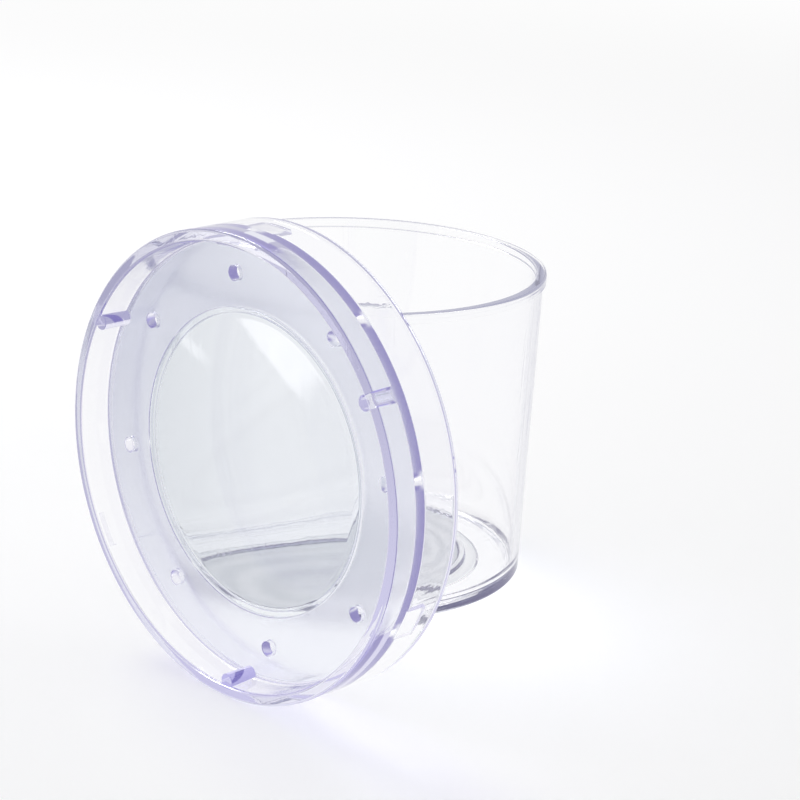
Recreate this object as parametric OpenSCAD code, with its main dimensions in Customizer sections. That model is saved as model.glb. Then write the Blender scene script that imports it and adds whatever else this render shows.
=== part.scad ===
// Bug catcher jar: a clear pot and the magnifying lid that pushes onto its mouth.
// The lid is off and stands on its edge in front of the pot, with its under side facing forward.
// Millimetres. The origin is the middle of the pot's base, +Z is up and -Y is forward.

/* [Pot] */
// Height of the pot, from the base to the top of the lip
pot_h = 61.3; // [45:0.1:90]
// Diameter over the lip at the mouth
mouth_d = 74.8; // [68:0.1:82]
// Diameter of the side wall where it would meet the base
base_d = 69.8; // [58:0.1:73]
// Thickness of the side wall
pot_wall = 1.5; // [1:0.1:2.2]
// Thickness of the floor
floor_t = 1.8; // [1.2:0.1:2.6]
// Height of the lip round the mouth
lip_h = 1.9; // [1.4:0.1:3]
// How far the lip stands out of the wall
lip_out = 0.5; // [0.2:0.1:1]
// Rounding on the top edges of the lip
lip_round = 0.5; // [0.2:0.1:0.6]
// Rounding of the base corner, outside
base_round = 2.2; // [1:0.1:4]
// Rounding where the floor meets the wall, inside
floor_round = 2.4; // [1:0.1:4]

/* [Floor steps] */
// Diameter of the shallow recess in the under side
foot_recess_d = 53; // [40:0.5:55]
// Depth of that recess
foot_recess_h = 0.6; // [0.3:0.1:0.9]
// Outer diameter of the round bead on the floor inside
bead_d = 48.4; // [30:0.1:50]
// Width of the bead
bead_w = 1.5; // [0.8:0.1:3]
// Height of the bead
bead_h = 0.6; // [0.3:0.1:1.2]

/* [Lid] */
// Height of the lid, rim to rim
lid_h = 14.6; // [12:0.1:20]
// Depth of the under side, from the rim to the plate
under_depth = 5.9; // [4.5:0.1:8]
// Thickness of the plate
plate_t = 2.0; // [1.8:0.1:2.6]
// Room between the pot's lip and the lid's skirt at the plate
skirt_room = 2.1; // [1.6:0.1:3]
// How much the skirt opens from the plate to each rim
skirt_draft = 0.4; // [0.1:0.1:0.8]
// Thickness of the skirt at its rims
rim_wall = 2.1; // [1.6:0.1:3]
// Rounding on the edges of both rims
rim_round = 0.5; // [0.2:0.1:0.7]
// Fillet where the plate meets the skirt
plate_fillet = 0.25; // [0.2:0.05:0.8]

/* [Grip] */
// Number of grip pins, and of snap lugs between them
grip_count = 3; // [2:1:5]
// Diameter of a grip pin
pin_d = 2.8; // [2:0.1:3.2]
// Distance from the rim back to the tip of a grip pin
pin_set = 0.2; // [0.1:0.05:0.4]
// Gap between the pot's lip and a grip pin
grip_gap = 0.4; // [0.2:0.05:0.6]
// Width of a snap lug, and of the pad behind it
lug_w = 6.4; // [4:0.1:9]
// How far a snap lug stands out of the skirt
lug_out = 0.2; // [0.1:0.05:1]
// Length of a snap lug along the skirt
lug_l = 1.4; // [1:0.1:2.4]
// Distance from the rim back to a snap lug
lug_set = 0.6; // [0.6:0.1:1.8]
// How far the pad on the top side stands out, past the plate's fillet
pad_out = 0.4; // [0.1:0.1:0.8]
// Distance from the top rim to the end of a pad
pad_set = 2.6; // [2:0.1:3.5]

/* [Vents] */
// Number of vent holes in the plate
vent_count = 8; // [4:1:12]
// Diameter of a vent hole
vent_d = 2.7; // [1.5:0.1:3.4]

/* [Magnifier] */
// Diameter of the lens over its edge
lens_d = 55.2; // [44:0.1:58]
// Thickness of the lens at its edge
lens_edge_t = 1.2; // [0.8:0.1:1.5]
// Width of the ledge that carries the lens
lens_ledge = 1.0; // [0.6:0.1:2]
// Radial clearance between the lens and its seat
lens_fit = 0.05; // [0.02:0.01:0.1]
// Height of the dome on the lens, under side
under_dome = 1.0; // [0.8:0.1:2.4]
// Height of the dome on the lens, top side
top_dome = 1.6; // [1:0.1:3.2]
// Width of the flat ring round the foot of a dome
dome_inset = 0.3; // [0.2:0.05:1]

/* [Where the lid stands] */
// Clear distance between the lid and the pot's lip, front to back
lid_gap = 12.3; // [4:0.1:60]
// How far the lid stands to the right of the pot's axis
lid_aside = 35.4; // [-60:0.1:60]
// How far the lid is rolled round its own axis, in degrees
lid_roll = -31.8; // [-180:0.1:180]

/* [Hidden] */
$fn = 144;
arc_facets = 1440;
overrun = 1;

// Pot
mouth_r = mouth_d / 2;
base_r = base_d / 2;
neck_r = mouth_r - lip_out;
wall_slope = (neck_r - base_r) / pot_h;
wall_lean = atan(wall_slope);
lip_z = pot_h - lip_h;
bead_r = bead_d / 2;
foot_recess_r = foot_recess_d / 2;

// Lid
skirt_root_r = mouth_r + skirt_room;
skirt_rim_r = skirt_root_r + skirt_draft;
lid_r = skirt_rim_r + rim_wall;
plate_top = under_depth + plate_t;
plate_mid = under_depth + plate_t / 2;
wall_mid_r = skirt_rim_r + rim_wall / 2;
fillet_r = skirt_root_r - plate_fillet;
pin_r = pin_d / 2;
pin_circle_r = mouth_r + grip_gap + pin_r;
grip_step = 360 / grip_count;

// Magnifier
lens_r = lens_d / 2;
ledge_r = lens_r - lens_ledge;
vent_circle_r = (lens_r + skirt_root_r) / 2;

// Outer radius of the side wall at height z
function wall_r(z) = base_r + z * wall_slope;

// Radius of the sphere whose cap is width w across the middle and height h
function cap_sphere_r(w, h) = (w * w / 4 + h * h) / (2 * h);

// Half section of a tapered round block, from its foot at z to its top, with a rounded foot corner.
// The wall leans by wall_lean and is inset from the pot's outer wall.
module tapered_section(foot_z, top_z, inset, corner) {
    corner_x = wall_r(foot_z) - inset + corner * wall_slope - corner / cos(wall_lean);
    corner_z = foot_z + corner;
    touch_x = corner_x + corner * cos(wall_lean);
    touch_z = corner_z - corner * sin(wall_lean);
    polygon([
        [0, foot_z],
        [corner_x, foot_z],
        [corner_x, corner_z],
        [touch_x, touch_z],
        [wall_r(top_z) - inset, top_z],
        [0, top_z]
    ]);
    translate([corner_x, corner_z])
        circle(r = corner);
}

// Half section of the lip, with both top edges rounded
module lip_section() {
    inner_r = neck_r - pot_wall;
    translate([inner_r, lip_z])
        square([mouth_r - inner_r, lip_h - lip_round]);
    translate([inner_r + lip_round, lip_z])
        square([mouth_r - inner_r - 2 * lip_round, lip_h]);
    for (x = [inner_r + lip_round, mouth_r - lip_round])
        translate([x, pot_h - lip_round])
            circle(r = lip_round);
}

// The pot: a tapered tumbler with a lip, a bead on its floor and a shallow recess under it
module jar_body() {
    color([0.93, 0.94, 0.98, 0.35])
        rotate_extrude()
            difference() {
                union() {
                    difference() {
                        tapered_section(0, lip_z + lip_round, 0, base_round);
                        tapered_section(floor_t, pot_h + overrun, pot_wall, floor_round);
                        square([foot_recess_r, foot_recess_h]);
                    }
                    lip_section();
                    translate([bead_r - bead_w, floor_t])
                        square([bead_w, bead_h]);
                    translate([0, floor_t])
                        square([bead_r - bead_w, foot_recess_h / 2]);
                }
                translate([-overrun, 0])
                    square([overrun, pot_h]);
            }
}

// Half section of the skirt from one rim at z = 0 to the plate at z = depth.
// Its inside is straight beside the fillet and opens from there to the rim.
module skirt_section(depth) {
    polygon([
        [skirt_rim_r, rim_round],
        [lid_r, rim_round],
        [lid_r, depth],
        [skirt_root_r, depth],
        [skirt_root_r, depth - 2 * plate_fillet]
    ]);
    translate([skirt_rim_r + rim_round, 0])
        square([rim_wall - 2 * rim_round, 2 * rim_round]);
    for (x = [skirt_rim_r + rim_round, lid_r - rim_round])
        translate([x, rim_round])
            circle(r = rim_round);
    translate([fillet_r, depth - plate_fillet])
        difference() {
            square([2 * plate_fillet, plate_fillet]);
            circle(r = plate_fillet);
        }
}

// Half section of the whole lid: a skirt on both sides of the plate, and the stepped seat of the lens
module lid_section() {
    skirt_section(under_depth);
    translate([0, lid_h])
        mirror([0, 1])
            skirt_section(lid_h - plate_top);
    translate([ledge_r, under_depth + lens_edge_t])
        square([lid_r - ledge_r, plate_t - lens_edge_t]);
    translate([lens_r + lens_fit, under_depth])
        square([lid_r - lens_r - lens_fit, plate_t]);
}

// Revolves a half section through the angle that is lug_w wide at the skirt
module lug_sector() {
    lug_angle = 2 * asin(lug_w / 2 / skirt_root_r);
    rotate([0, 0, -lug_angle / 2])
        rotate_extrude(angle = lug_angle)
            children();
}

// A snap lug: a wedge inside the skirt that slopes up from the rim side to a shoulder
module snap_lug() {
    lug_r = skirt_root_r - lug_out;
    lug_end = lug_set + lug_l;
    lug_sector()
        polygon([
            [wall_mid_r, lug_set],
            [skirt_rim_r, lug_set],
            [lug_r, lug_set + lug_l / 2],
            [lug_r, lug_end],
            [wall_mid_r, lug_end]
        ]);
}

// The pad on the top side, behind a snap lug
module lug_pad() {
    lug_sector()
        polygon([
            [fillet_r - pad_out, plate_mid],
            [fillet_r - pad_out, lid_h - pad_set],
            [wall_mid_r, lid_h - pad_set],
            [wall_mid_r, plate_mid]
        ]);
}

// The lid in its own frame: under side at z = 0, top at z = lid_h
module lid_moulding() {
    difference() {
        union() {
            rotate_extrude()
                lid_section();
            for (i = [0 : grip_count - 1]) {
                rotate([0, 0, lid_roll + i * grip_step])
                    translate([pin_circle_r, 0, pin_set])
                        cylinder(r = pin_r, h = plate_mid - pin_set);
                rotate([0, 0, lid_roll + (i + 0.5) * grip_step]) {
                    snap_lug();
                    lug_pad();
                }
            }
        }
        for (i = [0 : vent_count - 1])
            rotate([0, 0, lid_roll + (i + 0.5) * 360 / vent_count])
                translate([vent_circle_r, 0, under_depth - overrun])
                    cylinder(d = vent_d, h = plate_t + 2 * overrun);
    }
}

// Stands a piece of the lid on its edge in front of the pot, under side forward
module stand_lid() {
    translate([lid_aside, -mouth_r - lid_gap - lid_h, lid_r])
        rotate([-90, 0, 0])
            children();
}

module lid_cap() {
    color([0.80, 0.79, 0.94, 0.45])
        stand_lid()
            lid_moulding();
}

// Half section of one dome: a slice of a circle, w wide and h high, that stands on y = 0
module dome_section(w, h) {
    arc_r = cap_sphere_r(2 * w, h);
    intersection() {
        translate([0, h - arc_r])
            circle(r = arc_r, $fn = arc_facets);
        square([w + overrun, h]);
    }
}

// The magnifier: a flat edge that lies in the seat, and a dome on each side
module magnifier_lens() {
    inner_r = ledge_r - lens_fit;
    dome_r = inner_r - dome_inset;
    color([0.90, 0.93, 0.95, 0.35])
        stand_lid()
            rotate_extrude() {
                translate([0, under_depth])
                    square([lens_r, lens_edge_t]);
                translate([0, under_depth])
                    square([inner_r, plate_t]);
                translate([0, under_depth])
                    mirror([0, 1])
                        dome_section(dome_r, under_dome);
                translate([0, plate_top])
                    dome_section(dome_r, top_dome);
            }
}

jar_body();
lid_cap();
magnifier_lens();
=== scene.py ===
import math

import bmesh
import bpy
from mathutils import Matrix, Vector


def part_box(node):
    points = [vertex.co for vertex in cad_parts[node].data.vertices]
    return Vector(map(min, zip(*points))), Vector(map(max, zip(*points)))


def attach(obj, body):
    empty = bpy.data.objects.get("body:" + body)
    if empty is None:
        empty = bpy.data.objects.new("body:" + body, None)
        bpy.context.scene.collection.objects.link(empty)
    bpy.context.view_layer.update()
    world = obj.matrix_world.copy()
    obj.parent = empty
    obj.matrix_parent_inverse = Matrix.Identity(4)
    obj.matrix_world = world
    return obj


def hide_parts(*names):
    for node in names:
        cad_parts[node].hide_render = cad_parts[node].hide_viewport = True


# a clear bug catcher jar: an open pot, and its magnifying lid standing on edge in front of it
# lengths are in metres, and colours are linear
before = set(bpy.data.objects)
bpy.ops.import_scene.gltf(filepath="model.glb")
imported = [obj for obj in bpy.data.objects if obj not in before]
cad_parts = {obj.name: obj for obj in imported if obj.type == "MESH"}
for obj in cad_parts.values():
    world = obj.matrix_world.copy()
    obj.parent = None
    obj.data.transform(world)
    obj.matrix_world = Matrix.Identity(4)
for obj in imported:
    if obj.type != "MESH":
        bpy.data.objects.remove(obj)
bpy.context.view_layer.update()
print("frame loaded:", sorted(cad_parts))


cameraView = {
    "place": (0.35703, -0.34852, 0.19273),
    "heading": 0.778,    # radians, anticlockwise from +Y
    "pitch": 0.309,      # radians, downwards
    "roll": 0.041,
    "lens": 118.49,
    "sensor": 36.0,
    "clip": (0.01, 20),
}


def placeCamera(view):
    data = bpy.data.cameras.new("photoCamera")
    data.lens = view["lens"]
    data.sensor_width = view["sensor"]
    data.clip_start, data.clip_end = view["clip"]
    camera = bpy.data.objects.new("photoCamera", data)
    bpy.context.scene.collection.objects.link(camera)
    turn = (Matrix.Rotation(view["heading"], 4, "Z")
            @ Matrix.Rotation(math.pi / 2 - view["pitch"], 4, "X")
            @ Matrix.Rotation(view["roll"], 4, "Z"))
    camera.matrix_world = Matrix.Translation(view["place"]) @ turn
    bpy.context.scene.camera = camera


placeCamera(cameraView)
print("camera placed")


def roundCorners(corners, steps=7):
    # takes corners as (radius, height, rounding) and turns each into an arc
    points = []
    count = len(corners)
    for i, (r, z, rounding) in enumerate(corners):
        here = Vector((r, z))
        if rounding == 0:
            points.append((r, z))
            continue
        before = (Vector(corners[i - 1][:2]) - here).normalized()
        after = (Vector(corners[(i + 1) % count][:2]) - here).normalized()
        half = before.angle(after) / 2
        reach = rounding / math.tan(half)
        middle = here + (before + after).normalized() * (rounding / math.sin(half))
        first = here + before * reach - middle
        sweep = (here + after * reach - middle).angle_signed(first)
        for k in range(steps + 1):
            turn = Matrix.Rotation(sweep * k / steps, 2)
            points.append(tuple(middle + turn @ first))
    return points


def newPiece(name, work):
    mesh = bpy.data.meshes.new(name)
    bmesh.ops.recalc_face_normals(work, faces=work.faces)
    work.to_mesh(mesh)
    work.free()
    piece = bpy.data.objects.new(name, mesh)
    bpy.context.scene.collection.objects.link(piece)
    return piece


def revolve(name, outline, turns):
    # turns a closed outline of (radius, height) points round the Z axis
    work = bmesh.new()
    angles = [math.tau * k / turns for k in range(turns)]
    rings = []
    for r, z in outline:
        if r < 1e-7:    # a point on the axis makes a single vertex
            rings.append([work.verts.new((0, 0, z))] * turns)
        else:
            rings.append([work.verts.new((r * math.cos(a), r * math.sin(a), z)) for a in angles])
    for i, ring in enumerate(rings):
        other = rings[(i + 1) % len(rings)]
        for k in range(turns):
            corners = []
            for v in (ring[k], ring[(k + 1) % turns], other[(k + 1) % turns], other[k]):
                if v not in corners:
                    corners.append(v)
            if len(corners) > 2:
                work.faces.new(corners)
    return newPiece(name, work)


def sector(name, outline, angle, steps=8):
    # turns a closed outline through part of a circle and closes both ends
    work = bmesh.new()
    rings = []
    for k in range(steps + 1):
        a = angle * (k / steps - 0.5)
        rings.append([work.verts.new((r * math.cos(a), r * math.sin(a), z)) for r, z in outline])
    count = len(outline)
    for near, far in zip(rings, rings[1:]):
        for i in range(count):
            after = (i + 1) % count
            work.faces.new((near[i], near[after], far[after], far[i]))
    work.faces.new(rings[0])
    work.faces.new(rings[-1][::-1])
    return newPiece(name, work)


def combine(piece, others, operation):
    # joins the other pieces or cuts them out, then deletes them
    group = bpy.data.collections.new(piece.name + "Parts")
    for other in others:
        group.objects.link(other)
    step = piece.modifiers.new("combine", "BOOLEAN")
    step.operation = operation
    step.solver = "EXACT"
    step.operand_type = "COLLECTION"
    step.collection = group
    bakeModifiers(piece)
    for other in others:
        bpy.data.objects.remove(other)
    bpy.data.collections.remove(group)


def bakeModifiers(piece):
    bpy.context.view_layer.update()
    shaped = piece.evaluated_get(bpy.context.evaluated_depsgraph_get())
    old = piece.data
    piece.data = bpy.data.meshes.new_from_object(shaped)
    piece.modifiers.clear()
    bpy.data.meshes.remove(old)
    piece.data.name = piece.name


def smoothFaces(piece, degrees=35):
    # rounded stretches shade smoothly and flat faces stay flat
    piece.data.shade_smooth()
    piece.data.set_sharp_from_angle(angle=math.radians(degrees))
    even = piece.modifiers.new("even", "WEIGHTED_NORMAL")
    even.keep_sharp = True
    bakeModifiers(piece)


def newGroup(name, inputs, outputs):
    group = bpy.data.node_groups.new(name, "ShaderNodeTree")
    for label, kind, value in inputs:
        socket = group.interface.new_socket(label, in_out="INPUT", socket_type=kind)
        if value is not None:
            socket.default_value = value
    for label, kind in outputs:
        group.interface.new_socket(label, in_out="OUTPUT", socket_type=kind)
    return group, group.nodes.new("NodeGroupInput"), group.nodes.new("NodeGroupOutput")


def addNode(tree, kind, **values):
    node = tree.nodes.new(kind)
    for name, value in values.items():
        if name in node.inputs:
            node.inputs[name].default_value = value
        else:
            setattr(node, name, value)
    return node


def maths(tree, operation, a, b):
    node = addNode(tree, "ShaderNodeMath", operation=operation)
    for socket, value in zip(node.inputs, (a, b)):
        if isinstance(value, (int, float)):
            socket.default_value = value
        else:
            tree.links.new(value, socket)
    return node.outputs[0]


def makeFlowGroup():
    # the faint swell and flow marks that a moulded wall keeps from the tool
    group, given, out = newGroup(
        "mouldFlow",
        [("Place", "NodeSocketVector", None), ("Swell scale", "NodeSocketFloat", 30.0),
         ("Ripple scale", "NodeSocketFloat", 160.0), ("Ripple share", "NodeSocketFloat", 0.2)],
        [("Height", "NodeSocketFloat")])
    swell = addNode(group, "ShaderNodeTexNoise", Detail=1.0)
    ripple = addNode(group, "ShaderNodeTexNoise", Detail=3.0)
    for node, scale in ((swell, "Swell scale"), (ripple, "Ripple scale")):
        group.links.new(given.outputs["Place"], node.inputs["Vector"])
        group.links.new(given.outputs[scale], node.inputs["Scale"])
    rippled = maths(group, "MULTIPLY", ripple.outputs["Fac"], given.outputs["Ripple share"])
    group.links.new(maths(group, "ADD", swell.outputs["Fac"], rippled), out.inputs["Height"])
    return group


def makeHandlingGroup():
    # hairline scratches and finger smudges
    group, given, out = newGroup(
        "handlingMarks",
        [("Place", "NodeSocketVector", None), ("Scratch scale", "NodeSocketFloat", 900.0),
         ("Smudge scale", "NodeSocketFloat", 40.0), ("Clean", "NodeSocketFloat", 0.02),
         ("Marked", "NodeSocketFloat", 0.12)],
        [("Roughness", "NodeSocketFloat"), ("Scratches", "NodeSocketFloat")])
    stretch = addNode(group, "ShaderNodeMapping", Rotation=(0.4, 0.7, 0.5), Scale=(1.0, 0.03, 0.03))
    group.links.new(given.outputs["Place"], stretch.inputs["Vector"])
    hair = addNode(group, "ShaderNodeTexNoise", Detail=2.0)
    group.links.new(stretch.outputs["Vector"], hair.inputs["Vector"])
    group.links.new(given.outputs["Scratch scale"], hair.inputs["Scale"])
    # only the peaks of the stretched noise show as scratches
    thin = addNode(group, "ShaderNodeMapRange", **{"From Min": 0.66, "From Max": 0.74})
    group.links.new(hair.outputs["Fac"], thin.inputs["Value"])
    smudge = addNode(group, "ShaderNodeTexNoise", Detail=4.0, Roughness=0.6)
    group.links.new(given.outputs["Place"], smudge.inputs["Vector"])
    group.links.new(given.outputs["Smudge scale"], smudge.inputs["Scale"])
    patch = addNode(group, "ShaderNodeMapRange", **{"From Min": 0.52, "From Max": 0.78})
    group.links.new(smudge.outputs["Fac"], patch.inputs["Value"])
    smears = maths(group, "MULTIPLY", patch.outputs["Result"], 0.5)    # a smudge is duller than a scratch
    share = maths(group, "MAXIMUM", smears, thin.outputs["Result"])
    rough = addNode(group, "ShaderNodeMapRange")
    group.links.new(share, rough.inputs["Value"])
    group.links.new(given.outputs["Clean"], rough.inputs["To Min"])
    group.links.new(given.outputs["Marked"], rough.inputs["To Max"])
    group.links.new(rough.outputs["Result"], out.inputs["Roughness"])
    group.links.new(thin.outputs["Result"], out.inputs["Scratches"])
    return group


def makeTintGroup():
    # the tint drifts a little where the melt was thicker or cooler
    group, given, out = newGroup(
        "tintDrift",
        [("Place", "NodeSocketVector", None), ("Scale", "NodeSocketFloat", 22.0),
         ("Light", "NodeSocketColor", (1, 1, 1, 1)), ("Deep", "NodeSocketColor", (0.9, 0.9, 0.97, 1))],
        [("Color", "NodeSocketColor")])
    drift = addNode(group, "ShaderNodeTexNoise", Detail=2.0)
    group.links.new(given.outputs["Place"], drift.inputs["Vector"])
    group.links.new(given.outputs["Scale"], drift.inputs["Scale"])
    mixed = addNode(group, "ShaderNodeMix", data_type="RGBA")
    group.links.new(drift.outputs["Fac"], mixed.inputs["Factor"])
    group.links.new(given.outputs["Light"], mixed.inputs[6])
    group.links.new(given.outputs["Deep"], mixed.inputs[7])
    group.links.new(mixed.outputs[2], out.inputs["Color"])
    return group


mouldFlow = makeFlowGroup()
handlingMarks = makeHandlingGroup()
tintDrift = makeTintGroup()


def emptyMaterial(name):
    material = bpy.data.materials.new(name)
    material.use_nodes = True
    material.node_tree.nodes.clear()
    return material


def blend(tree, share, first, second):
    # mixes two colours, given as sockets or as plain values
    node = addNode(tree, "ShaderNodeMix", data_type="RGBA")
    tree.links.new(share, node.inputs["Factor"])
    for socket, value in zip((node.inputs[6], node.inputs[7]), (first, second)):
        if isinstance(value, tuple):
            socket.default_value = (*value, 1)
        else:
            tree.links.new(value, socket)
    return node.outputs[2]


def clearPlastic(name, look):
    material = emptyMaterial(name)
    tree = material.node_tree
    place = addNode(tree, "ShaderNodeTexCoord").outputs["Object"]

    def useGroup(group, **values):
        node = tree.nodes.new("ShaderNodeGroup")
        node.node_tree = group
        tree.links.new(place, node.inputs["Place"])
        for label, value in values.items():
            node.inputs[label.replace("_", " ")].default_value = value
        return node

    tint = useGroup(tintDrift, Scale=look["driftScale"], Light=(*look["light"], 1), Deep=(*look["deep"], 1))
    marks = useGroup(handlingMarks, Clean=look["clean"], Marked=look["marked"],
                     Smudge_scale=look["smudgeScale"])
    flow = useGroup(mouldFlow, Swell_scale=look["swellScale"], Ripple_scale=look["rippleScale"],
                    Ripple_share=look["rippleShare"])
    height = maths(tree, "SUBTRACT", flow.outputs["Height"],
                   maths(tree, "MULTIPLY", marks.outputs["Scratches"], look["scratchDepth"]))
    bump = addNode(tree, "ShaderNodeBump", Strength=look["bump"], Distance=look["bumpDepth"])
    tree.links.new(height, bump.inputs["Height"])

    def fade(colour, end):
        # painted shade: passes to another, darker tint along one direction
        along = addNode(tree, "ShaderNodeVectorMath", operation="DOT_PRODUCT")
        along.inputs[1].default_value = look["fadeWay"]
        tree.links.new(place, along.inputs[0])
        share = addNode(tree, "ShaderNodeMapRange")
        share.inputs["From Min"].default_value, share.inputs["From Max"].default_value = look["fadeReach"]
        tree.links.new(along.outputs["Value"], share.inputs["Value"])
        return blend(tree, share.outputs["Result"], colour, end)

    colour, roughness, glow = tint.outputs["Color"], marks.outputs["Roughness"], None
    # painted shade: the tint passes to a darker one along fadeWay
    if "fade" in look:
        colour = fade(colour, look["fade"])
    if "satin" in look:
        # satin faces are frosted by the mould, and glow is a painted glow colour, given face by face, that
        # stands in for the light trapped behind a face
        satin = addNode(tree, "ShaderNodeAttribute", attribute_name="satin").outputs["Fac"]
        glow = addNode(tree, "ShaderNodeAttribute", attribute_name="glow").outputs["Color"]
        frost = useGroup(tintDrift, Scale=look["frostScale"], Light=(*look["satin"], 1),
                         Deep=(*look["satinDeep"], 1)).outputs["Color"]
        # painted shade: the frosted plate is painted darker upwards and towards −X
        if "satinPaintedShade" in look:
            frost = fade(frost, look["satinPaintedShade"])
        if "ringScale" in look:
            # the turning marks of the mould, in the frosted floor
            rings = addNode(tree, "ShaderNodeTexWave", wave_type="RINGS", rings_direction="Z", Detail=2.0)
            rings.inputs["Scale"].default_value = look["ringScale"]
            rings.inputs["Distortion"].default_value = look["ringWobble"]
            tree.links.new(place, rings.inputs["Vector"])
            frost = blend(tree, rings.outputs["Fac"], frost, look["ringTint"])
        # a tint of thick plastic, with painted shade on the front rim and the lower pins
        thickTintAndShade = addNode(tree, "ShaderNodeAttribute", attribute_name="thickTintAndShade").outputs["Color"]
        tintedAndShaded = addNode(tree, "ShaderNodeMix", data_type="RGBA", blend_type="MULTIPLY", Factor=1.0)
        tree.links.new(blend(tree, satin, colour, frost), tintedAndShaded.inputs[6])
        tree.links.new(thickTintAndShade, tintedAndShaded.inputs[7])
        colour = tintedAndShaded.outputs[2]
        roughness = maths(tree, "MAXIMUM", roughness, maths(tree, "MULTIPLY", satin, look["satinRough"]))

    body = addNode(tree, "ShaderNodeBsdfPrincipled", IOR=look["ior"])
    body.inputs["Transmission Weight"].default_value = 1.0
    tree.links.new(colour, body.inputs["Base Color"])
    tree.links.new(roughness, body.inputs["Roughness"])
    tree.links.new(bump.outputs["Normal"], body.inputs["Normal"])
    # painted glow: where light is mirrored or crosses faces too often, an emission of a set colour stands in
    # for it, the colour that a long way through the plastic gives
    paintedGlow = addNode(tree, "ShaderNodeEmission", Color=(*look["paintedGlow"], 1), Strength=1.0)
    if glow is not None:
        tree.links.new(glow, paintedGlow.inputs["Color"])
    rays = addNode(tree, "ShaderNodeLightPath")
    inside = addNode(tree, "ShaderNodeMixShader")
    longWay = maths(tree, "MAXIMUM",
                    maths(tree, "GREATER_THAN", rays.outputs["Glossy Depth"], look["mirrored"]),
                    maths(tree, "GREATER_THAN", rays.outputs["Ray Depth"], look["crossed"]))
    tree.links.new(longWay, inside.inputs[0])
    tree.links.new(body.outputs[0], inside.inputs[1])
    tree.links.new(paintedGlow.outputs[0], inside.inputs[2])
    # lamps reach what is behind the plastic, through a stand-in of its own tint
    through = addNode(tree, "ShaderNodeBsdfTransparent", Color=(*look["shadow"], 1))
    surface = addNode(tree, "ShaderNodeMixShader")
    tree.links.new(rays.outputs["Is Shadow Ray"], surface.inputs[0])
    tree.links.new(inside.outputs[0], surface.inputs[1])
    tree.links.new(through.outputs[0], surface.inputs[2])
    depth = addNode(tree, "ShaderNodeVolumeAbsorption", Color=(*look["absorb"], 1), Density=look["density"])
    out = tree.nodes.new("ShaderNodeOutputMaterial")
    tree.links.new(surface.outputs[0], out.inputs["Surface"])
    tree.links.new(depth.outputs[0], out.inputs["Volume"])
    return material


def markFaces(piece, judge):
    # judge gives each face its frosting, from 0 to 1, its painted glow colour, and a tint of thick plastic
    # with painted shade in it
    satin = piece.data.attributes.new("satin", "FLOAT", "FACE").data
    glow = piece.data.attributes.new("glow", "FLOAT_COLOR", "FACE").data
    shadeTint = piece.data.attributes.new("thickTintAndShade", "FLOAT_COLOR", "FACE").data
    for face in piece.data.polygons:
        satin[face.index].value, colour, tint = judge(face)
        glow[face.index].color = (*colour, 1)
        shadeTint[face.index].color = (*tint, 1)


def dress(piece, material, node, body):
    piece.data.materials.append(material)
    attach(piece, body)
    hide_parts(node)


potLow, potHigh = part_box("jar_body")
pot = {
    "mouthRadius": (potHigh.x - potLow.x) / 2,
    "height": potHigh.z,
    "baseRadius": 0.0349,
    "wall": 0.0015,
    "floor": 0.0018,
    "lipHeight": 0.0019,
    "lipOut": 0.0005,
    "footRecess": 0.0265,    # radius of the hollow under the base
    "footDepth": 0.0006,
    "beadRadius": 0.0242,    # the raised ring on the floor
    "beadWidth": 0.0015,
    "beadHeight": 0.0006,
    "beadRound": 0.00045,
    "baseRound": 0.0009,
    "floorRound": 0.0024,
    "lipRound": 0.0005,
    "footRound": 0.00025,
    "creaseRound": 0.0002,
    "edgeRound": 0.0001,
    "gateRadius": 0.0011,    # where the plastic ran into the mould, under the floor
    "gateFlare": 1.2,
    "gateHeight": 0.0003,
    "turns": 240,
    "look": {
        "light": (1.0, 1.0, 1.0), "deep": (0.985, 0.985, 0.995), "driftScale": 18,
        "clean": 0.015, "marked": 0.09, "smudgeScale": 35,
        "swellScale": 26, "rippleScale": 140, "rippleShare": 0.12,
        "scratchDepth": 0.05, "bump": 0.25, "bumpDepth": 0.0006,
        "ior": 1.5, "shadow": (0.93, 0.94, 0.97),
        "absorb": (0.50, 0.52, 0.72), "density": 14,
        # painted glow colours; the floor's is darker, a painted shade
        "paintedGlow": (0.42, 0.42, 0.55), "paintedGlowFloor": (0.16, 0.15, 0.27), "mirrored": 2.5, "crossed": 10.5,
        "satin": (0.79, 0.80, 0.81), "satinDeep": (0.66, 0.68, 0.72), "satinRough": 0.10, "frostScale": 350,
        "ringScale": 78, "ringWobble": 2.4, "ringTint": (0.58, 0.60, 0.645),
    },
}


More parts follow.
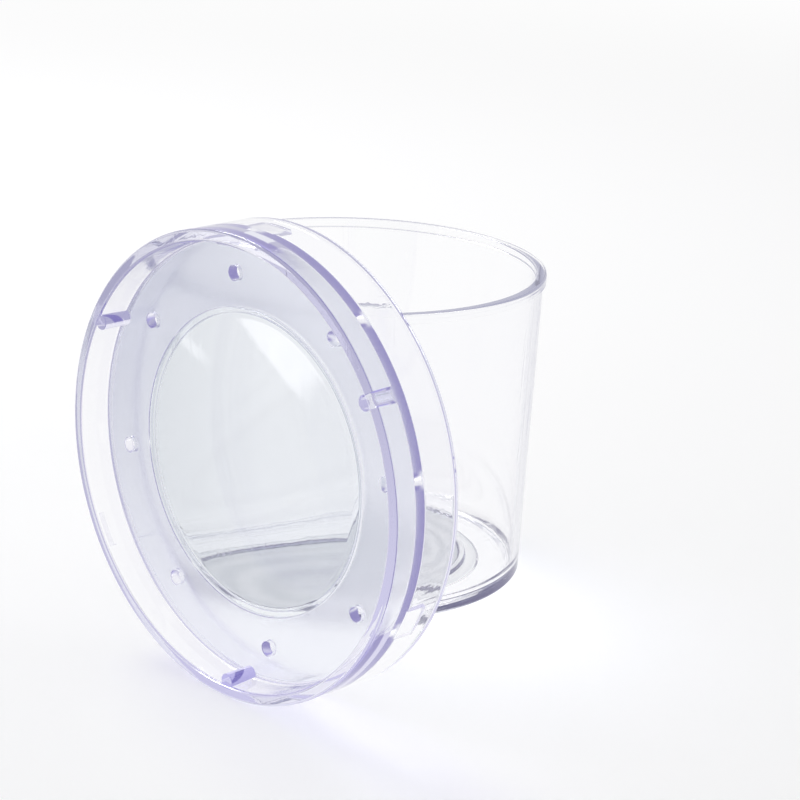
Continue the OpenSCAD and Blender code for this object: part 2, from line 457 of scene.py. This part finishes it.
def makePot(size):
    look = size["look"]
    neck = size["mouthRadius"] - size["lipOut"]
    slope = (neck - size["baseRadius"]) / size["height"]
    lipFoot = size["height"] - size["lipHeight"]
    bead = size["beadRadius"]
    beadInner = bead - size["beadWidth"]
    floorTop = size["floor"]
    stepTop = floorTop + size["footDepth"] / 2

    def wallAt(z):
        return size["baseRadius"] + slope * z

    outline = roundCorners([
        (0, size["footDepth"] - size["gateHeight"], 0),
        (size["gateRadius"], size["footDepth"] - size["gateHeight"], size["edgeRound"]),
        (size["gateRadius"] * size["gateFlare"], size["footDepth"], size["edgeRound"]),
        (size["footRecess"], size["footDepth"], size["footRound"]),
        (size["footRecess"] + size["footDepth"] / 2, 0, size["creaseRound"]),
        (wallAt(0), 0, size["baseRound"]),
        (wallAt(lipFoot), lipFoot, size["creaseRound"]),
        (size["mouthRadius"], lipFoot, size["creaseRound"]),
        (size["mouthRadius"], size["height"], size["lipRound"]),
        (neck - size["wall"], size["height"], size["lipRound"]),
        (wallAt(floorTop) - size["wall"], floorTop, size["floorRound"]),
        (bead, floorTop, size["edgeRound"]),
        (bead, floorTop + size["beadHeight"], size["beadRound"]),
        (beadInner, floorTop + size["beadHeight"], size["beadRound"]),
        (beadInner, stepTop, size["edgeRound"]),
        (0, stepTop, 0),
    ])
    piece = revolve("clearPot", outline, size["turns"])
    smoothFaces(piece)

    def judge(face):
        frosted = math.hypot(face.center.x, face.center.y) < beadInner
        # painted shade: faces at the floor take a darker painted glow
        low = face.center.z < size["floor"] + size["floorRound"] / 2
        return float(frosted), look["paintedGlowFloor" if low else "paintedGlow"], (1, 1, 1)

    markFaces(piece, judge)
    dress(piece, clearPlastic("clearStyrene", look), "jar_body", "pot")


makePot(pot)
print("pot made")


lidLow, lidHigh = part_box("lid_cap")
lensLow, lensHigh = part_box("magnifier_lens")
lid = {
    "radius": (lidHigh.x - lidLow.x) / 2,
    "height": lidHigh.y - lidLow.y,
    "roll": math.radians(-31.8),
    "underDepth": 0.0059,    # from the front rim to the plate
    "plate": 0.0020,
    "rimWall": 0.0021,
    "draft": 0.0004,         # how far the skirt opens towards its rims
    "fillet": 0.00025,
    "rimRound": 0.0005,
    "edgeRound": 0.00012,
    "lensRadius": (lensHigh.x - lensLow.x) / 2,
    "lensEdge": 0.0012,      # thickness of the lens's flange
    "lensLedge": 0.0010,
    "lensFit": 0.00005,
    "turns": 288,
    "smallTurns": 48,
    "pins": 3,
    "pinRadius": 0.0014,
    "pinRoom": 0.0004,       # between a pin and the pot's lip
    "pinSet": 0.0002,
    "pinRound": 0.00015,
    "lugWidth": 0.0064,
    "lugOut": 0.0002,
    "lugSet": 0.0006,
    "lugLength": 0.0014,
    "padOut": 0.0004,
    "padSet": 0.0026,
    "lugRound": 0.0002,
    "vents": 8,
    "ventRadius": 0.00135,
    "ventReach": 0.001,      # how far the cutter stands out of the plate
    "ventBreak": 0.0001,     # the vent's broken edge
    "look": {
        "light": (1.0, 1.0, 1.0), "deep": (0.975, 0.975, 0.99), "driftScale": 24,
        "clean": 0.02, "marked": 0.1, "smudgeScale": 45,
        "swellScale": 34, "rippleScale": 180, "rippleShare": 0.15,
        "scratchDepth": 0.06, "bump": 0.3, "bumpDepth": 0.0006,
        "ior": 1.5, "shadow": (0.79, 0.78, 0.89),
        "absorb": (0.34, 0.33, 0.64), "density": 11,
        # painted glow colours: a darker one towards the rim's top and −X, violet ones on the plate and the
        # front, a pale one round the lens seat, the vents and the pads
        "paintedGlow": (0.72, 0.70, 0.90), "paintedGlowDark": (0.47, 0.46, 0.62), "paintedGlowPlate": (0.28, 0.25, 0.54),
        "paintedGlowFront": (0.40, 0.36, 0.76), "paintedGlowPale": (0.84, 0.85, 0.92),
        "mirrored": 1.5, "crossed": 10.5,
        "satin": (0.955, 0.97, 1.0), "satinDeep": (0.93, 0.945, 1.0), "satinRough": 0.20, "frostScale": 24,
        # painted shade on the frosted plate, darker upwards and towards −X
        "satinPaintedShade": (0.70, 0.72, 0.79), "fadeWay": (-0.49, 0, 0.87), "fadeReach": (-0.005, 0.044),
        # the pins take the violet of thick plastic, and the lower pins a deeper painted shade
        "pinTint": (0.86, 0.84, 1.0), "pinShadeLow": (0.60, 0.56, 0.97),
        # painted shade on the front rim: darker towards the top and −X, and darker and bluer towards the
        # bottom
        "rimShade": (0.74, 0.74, 0.82), "rimShadeLow": (0.86, 0.85, 0.97),
        # painted shade: the rim's glow and tint are painted darker along this way
        "rimShadeWay": (-0.25, -0.43),    # where the rim darkens, across and down
        "nearVent": 1.3, "nearPin": 1.05, "nearPad": 0.51,    # in radii and in widths
        "nearRoot": 0.2, "nearRim": 0.9, "flat": 0.99,    # in fillets, rim roundings and as a cosine
    },
}
# the lid is made lying on its front rim and is then set up on its edge
lidFrame = (Matrix.Translation(((lidLow.x + lidHigh.x) / 2, lidLow.y, (lidLow.z + lidHigh.z) / 2))
            @ Matrix.Rotation(-math.pi / 2, 4, "X"))


def makeLid(size):
    look = size["look"]
    rim = size["radius"] - size["rimWall"]
    root = rim - size["draft"]
    under, top = size["underDepth"], size["underDepth"] + size["plate"]
    middle = (under + top) / 2
    seat = size["lensRadius"] + size["lensFit"]
    ledge = size["lensRadius"] - size["lensLedge"]
    shelf = under + size["lensEdge"]
    edge = size["edgeRound"]
    high = size["height"]
    embedded = rim + size["rimWall"] / 2    # deep enough in the skirt to join it
    pinCircle = pot["mouthRadius"] + size["pinRoom"] + size["pinRadius"]
    pieces = []

    body = revolve("lilacLid", roundCorners([
        (seat, under, edge),
        (root, under, size["fillet"]),
        (rim, 0, size["rimRound"]),
        (size["radius"], 0, size["rimRound"]),
        (size["radius"], high, size["rimRound"]),
        (rim, high, size["rimRound"]),
        (root, top, size["fillet"]),
        (seat, top, 0),
        (ledge, top, edge),
        (ledge, shelf, edge),
        (seat, shelf, edge),
    ]), size["turns"])

    lugAngle = 2 * math.asin(size["lugWidth"] / 2 / root)
    lugRadius = root - size["lugOut"]
    lugEnd = size["lugSet"] + size["lugLength"]
    padRadius = root - size["fillet"] - size["padOut"]
    for k in range(size["pins"]):
        pin = revolve("gripPin", roundCorners([
            (0, size["pinSet"], 0),
            (size["pinRadius"], size["pinSet"], size["pinRound"]),
            (size["pinRadius"], middle, 0),
            (0, middle, 0),
        ]), size["smallTurns"])
        turn = Matrix.Rotation(size["roll"] + math.tau * k / size["pins"], 4, "Z")
        pin.data.transform(turn @ Matrix.Translation((pinCircle, 0, 0)))
        halfTurn = Matrix.Rotation(math.pi / size["pins"], 4, "Z") @ turn
        lug = sector("snapLug", roundCorners([
            (embedded, size["lugSet"], 0),
            (rim, size["lugSet"], 0),
            (lugRadius, size["lugSet"] + size["lugLength"] / 2, size["lugRound"]),
            (lugRadius, lugEnd, size["lugRound"]),
            (embedded, lugEnd, 0),
        ], steps=3), lugAngle)
        lug.data.transform(halfTurn)
        pad = sector("lugPad", roundCorners([
            (padRadius, middle, 0),
            (padRadius, high - size["padSet"], size["lugRound"]),
            (embedded, high - size["padSet"], 0),
            (embedded, middle, 0),
        ], steps=3), lugAngle)
        pad.data.transform(halfTurn)
        pieces += [pin, lug, pad]
    combine(body, pieces, "UNION")

    vents = []
    reach = size["ventReach"]
    ventMouth = size["ventRadius"] + reach + size["ventBreak"]
    ventCircle = (size["lensRadius"] + root) / 2
    ventStep = math.tau / size["vents"]
    pinStep = math.tau / size["pins"]
    for k in range(size["vents"]):
        vent = revolve("ventCore", roundCorners([
            (0, under - reach, 0),
            (ventMouth, under - reach, 0),
            (size["ventRadius"], under + size["ventBreak"], 0),
            (size["ventRadius"], top - size["ventBreak"], 0),
            (ventMouth, top + reach, 0),
            (0, top + reach, 0),
        ]), size["smallTurns"])
        turn = Matrix.Rotation(size["roll"] + math.tau * (k + 0.5) / size["vents"], 4, "Z")
        vent.data.transform(turn @ Matrix.Translation((ventCircle, 0, 0)))
        vents.append(vent)
    combine(body, vents, "DIFFERENCE")
    smoothFaces(body)
    dress(body, clearPlastic("lilacStyrene", look), "lid_cap", "lid")

    white = Vector((1, 1, 1))

    def nearest(spoke, step):
        # the angle to the nearest of the pieces that stand every step round the lid
        return abs((spoke + step / 2) % step - step / 2)

    def judge(face):
        r = math.hypot(face.center.x, face.center.y)
        across, down = face.center.x / size["radius"], face.center.y / size["radius"]
        # painted shade: high grows towards the top and −X, where the rim's glow and tint are painted darker
        high = min(max(0.5 + look["rimShadeWay"][0] * across + look["rimShadeWay"][1] * down, 0), 1)
        wall = Vector(look["paintedGlow"]).lerp(look["paintedGlowDark"], high)
        spoke = math.atan2(face.center.y, face.center.x) - size["roll"]
        offVent = nearest(spoke - ventStep / 2, ventStep) * ventCircle
        offPin = nearest(spoke, pinStep) * pinCircle
        offLug = nearest(spoke - pinStep / 2, pinStep)
        flat = abs(face.normal.z) > look["flat"]
        onPad = offLug < lugAngle * look["nearPad"] and r < root - size["fillet"] * look["nearRoot"]
        # a pale painted glow round the lens seat, the vents and the pads, and a violet one on the plate and
        # the front
        if r < seat + edge:
            return 0, look["paintedGlowPale"], white
        if flat and min(abs(face.center.z - under), abs(face.center.z - top)) < edge:
            return 1, look["paintedGlowPlate"], white
        if math.hypot(offVent, r - ventCircle) < size["ventRadius"] * look["nearVent"]:
            return 0, look["paintedGlowPale"], white
        if onPad and face.center.z > top:
            return 0, look["paintedGlowPale"], white
        if r < pinCircle + size["pinRadius"] and face.center.z < under - edge:
            onPin = math.hypot(offPin, r - pinCircle) < size["pinRadius"] * look["nearPin"]
            # painted shade: a lower pin is painted a deeper violet
            pinTint = Vector(look["pinTint"]).lerp(look["pinShadeLow"], max(down, 0))
            return 0, look["paintedGlowFront"], pinTint if onPin else white
        # painted shade on the front rim, darker towards the top and −X and towards the bottom
        if face.center.z < size["rimRound"] * look["nearRim"]:
            return 0, wall, white.lerp(look["rimShade"], high).lerp(look["rimShadeLow"], max(down, 0))
        return 0, wall, white

    markFaces(body, judge)
    body.data.transform(lidFrame)


makeLid(lid)
print("lid made")


lens = {
    "underDome": 0.0010,
    "topDome": 0.0016,
    "domeInset": 0.0003,
    "seatGap": 0.00004,    # keeps the seam to the seat's shelf open
    "edgeRound": 0.0001,
    "steps": 40,
    "turns": 288,
    "look": {
        "light": (0.935, 0.952, 0.962), "deep": (0.895, 0.915, 0.935), "driftScale": 14,
        # painted shade: the lens is painted darker towards −X
        "fade": (0.76, 0.79, 0.82), "fadeWay": (-1, 0, 0.1), "fadeReach": (-0.034, -0.006),
        "clean": 0.01, "marked": 0.07, "smudgeScale": 30,
        "swellScale": 20, "rippleScale": 110, "rippleShare": 0.08,
        "scratchDepth": 0.04, "bump": 0.15, "bumpDepth": 0.0005,
        "ior": 1.49, "shadow": (0.93, 0.95, 0.96),
        "absorb": (0.70, 0.74, 0.78), "density": 30,
        "paintedGlow": (0.86, 0.87, 0.94), "mirrored": 2.5, "crossed": 10.5,
    },
}


def domeArc(width, rise, foot, steps):
    # the arc from the edge of a dome to its middle; a negative rise gives one that hangs down
    arcRadius = (width ** 2 + rise ** 2) / (2 * abs(rise))
    full = math.asin(width / arcRadius)
    points = []
    for k in range(steps + 1):
        a = full * (1 - k / steps)
        up = arcRadius * math.cos(a) - (arcRadius - abs(rise))
        points.append((arcRadius * math.sin(a), foot + math.copysign(up, rise)))
    return points


def makeLens(size):
    inner = lid["lensRadius"] - lid["lensLedge"] - lid["lensFit"]
    under = lid["underDepth"]
    top = under + lid["plate"]
    shelf = under + lid["lensEdge"] - size["seatGap"]
    edge = size["edgeRound"]
    foot = inner - size["domeInset"]
    front = domeArc(foot, -size["underDome"], under, size["steps"])
    back = domeArc(foot, size["topDome"], top, size["steps"])
    flange = roundCorners([
        (foot, under, 0),
        (lid["lensRadius"], under, edge),
        (lid["lensRadius"], shelf, edge),
        (inner, shelf, 0),
        (inner, top, edge),
        (foot, top, 0),
    ])
    piece = revolve("magnifierLens", front[::-1] + flange[1:-1] + back, size["turns"])
    smoothFaces(piece)
    piece.data.transform(lidFrame)
    dress(piece, clearPlastic("lensAcrylic", size["look"]), "magnifier_lens", "lid")


makeLens(lens)
print("magnifier made")


studio = {
    "floorRadius": 4.0,
    "floorCorners": 64,
    "floorColour": (0.94, 0.94, 0.95),
    "floorGlow": 0.38,      # share of plain white in the near floor; the far floor is all white
    "glowThrough": 0.90,    # the same share for what shows in the plastic
    "nearWhite": 1.0,
    "farGrey": 0.94,        # the far floor and the room, as the plastic shows them
    "nearRadius": 0.22,     # the floor changes from near to far between these two
    "farRadius": 0.90,
    "skyWhite": 1.0,
    "skyReach": 0.5,        # how far up the room turns from grey to white
    "skyGlow": 0.62,        # what the room gives to diffuse surfaces
}
keyBox = {
    "place": (-0.45, 0.05, 0.60), "aim": (0.02, -0.03, 0.03), "turn": 0, "soft": 0.1,
    "width": 0.30, "height": 0.30, "power": 3.2,
}
sideBox = {    # a low card that the magnifier's front mirrors
    "place": (-0.0606, -0.1632, 0.0382), "aim": (0.0436, -0.0586, 0.0643), "turn": -38, "soft": 0.18,
    "width": 0.053, "height": 0.0175, "power": 0.0078,
}
gapBox = {    # a smaller card, for the short streak beside the first
    "place": (-0.087, -0.1364, 0.0293), "aim": (0.0189, -0.0586, 0.0596), "turn": -26, "soft": 0.4,
    "width": 0.026, "height": 0.006, "power": 0.0009,
}


def seenRays(tree):
    # what the camera sees at once, and what it sees mirrored or through the plastic
    rays = addNode(tree, "ShaderNodeLightPath")
    return rays.outputs["Is Camera Ray"], maths(tree, "MAXIMUM", rays.outputs["Is Glossy Ray"],
                                                rays.outputs["Is Transmission Ray"])


def makeFloor(size):
    work = bmesh.new()
    bmesh.ops.create_circle(work, cap_ends=True, segments=size["floorCorners"], radius=size["floorRadius"])
    floor = newPiece("studioFloor", work)
    material = emptyMaterial("paperFloor")
    tree = material.node_tree
    camera, through = seenRays(tree)
    away = addNode(tree, "ShaderNodeVectorMath", operation="LENGTH")
    tree.links.new(addNode(tree, "ShaderNodeTexCoord").outputs["Object"], away.inputs[0])

    def fade(near, far):
        # passes from one value by the jar to another far from it
        node = addNode(tree, "ShaderNodeMapRange", interpolation_type="SMOOTHSTEP")
        ends = (size["nearRadius"], size["farRadius"], near, far)
        for label, value in zip(("From Min", "From Max", "To Min", "To Max"), ends):
            node.inputs[label].default_value = value
        tree.links.new(away.outputs["Value"], node.inputs["Value"])
        return node.outputs["Result"]

    paper = addNode(tree, "ShaderNodeBsdfDiffuse", Color=(*size["floorColour"], 1))
    glow = addNode(tree, "ShaderNodeEmission", Color=(1, 1, 1, 1))
    white = maths(tree, "MAXIMUM", camera, fade(size["nearWhite"], size["farGrey"]))
    tree.links.new(white, glow.inputs["Strength"])
    share = maths(tree, "ADD", maths(tree, "MULTIPLY", camera, fade(size["floorGlow"], 1.0)),
                  maths(tree, "MULTIPLY", through, size["glowThrough"]))
    surface = addNode(tree, "ShaderNodeMixShader")
    tree.links.new(share, surface.inputs[0])
    tree.links.new(paper.outputs[0], surface.inputs[1])
    tree.links.new(glow.outputs[0], surface.inputs[2])
    out = tree.nodes.new("ShaderNodeOutputMaterial")
    tree.links.new(surface.outputs[0], out.inputs["Surface"])
    floor.data.materials.append(material)


def makeWorld(size):
    world = bpy.data.worlds.new("studioWorld")
    bpy.context.scene.world = world
    world.use_nodes = True
    tree = world.node_tree
    tree.nodes.clear()
    parts = addNode(tree, "ShaderNodeSeparateXYZ")
    tree.links.new(addNode(tree, "ShaderNodeTexCoord").outputs["Generated"], parts.inputs[0])
    grade = addNode(tree, "ShaderNodeMapRange", interpolation_type="SMOOTHSTEP")
    for label, value in (("From Max", "skyReach"), ("To Min", "farGrey"), ("To Max", "skyWhite")):
        grade.inputs[label].default_value = size[value]
    tree.links.new(parts.outputs["Z"], grade.inputs["Value"])
    camera, through = seenRays(tree)
    room = addNode(tree, "ShaderNodeBackground", Color=(1, 1, 1, 1))
    shown = maths(tree, "MULTIPLY", through, grade.outputs["Result"])
    hidden = maths(tree, "MULTIPLY", maths(tree, "SUBTRACT", 1.0, maths(tree, "MAXIMUM", camera, through)),
                   size["skyGlow"])
    tree.links.new(maths(tree, "ADD", camera, maths(tree, "ADD", shown, hidden)), room.inputs["Strength"])
    out = tree.nodes.new("ShaderNodeOutputWorld")
    tree.links.new(room.outputs[0], out.inputs["Surface"])


def makeLamp(name, size):
    data = bpy.data.lights.new(name, "AREA")
    data.shape = "RECTANGLE"
    data.size = size["width"]
    data.size_y = size["height"]
    data.energy = size["power"]
    # each box is brightest in its middle, so that its reflection has soft edges
    data.use_nodes = True
    tree = data.node_tree
    parts = addNode(tree, "ShaderNodeSeparateXYZ")
    tree.links.new(addNode(tree, "ShaderNodeNewGeometry").outputs["Parametric"], parts.inputs[0])
    sides = []
    for axis in "XY":
        side = addNode(tree, "ShaderNodeMapRange", interpolation_type="SMOOTHSTEP")
        side.inputs["From Max"].default_value = size["soft"]
        fromEnd = maths(tree, "SUBTRACT", 1.0, parts.outputs[axis])
        tree.links.new(maths(tree, "MINIMUM", parts.outputs[axis], fromEnd), side.inputs["Value"])
        sides.append(side.outputs["Result"])
    tree.links.new(maths(tree, "MULTIPLY", *sides), tree.nodes["Emission"].inputs["Strength"])
    lamp = bpy.data.objects.new(name, data)
    bpy.context.scene.collection.objects.link(lamp)
    lamp.visible_camera = False
    place = Vector(size["place"])
    aim = Vector(size["aim"]) - place
    lamp.matrix_world = (Matrix.Translation(place) @ aim.to_track_quat("-Z", "Y").to_matrix().to_4x4()
                         @ Matrix.Rotation(math.radians(size["turn"]), 4, "Z"))


makeFloor(studio)
makeWorld(studio)
makeLamp("keyBox", keyBox)
makeLamp("sideBox", sideBox)
makeLamp("gapBox", gapBox)
bpy.context.scene.view_settings.view_transform = "Standard"
print("studio lit")
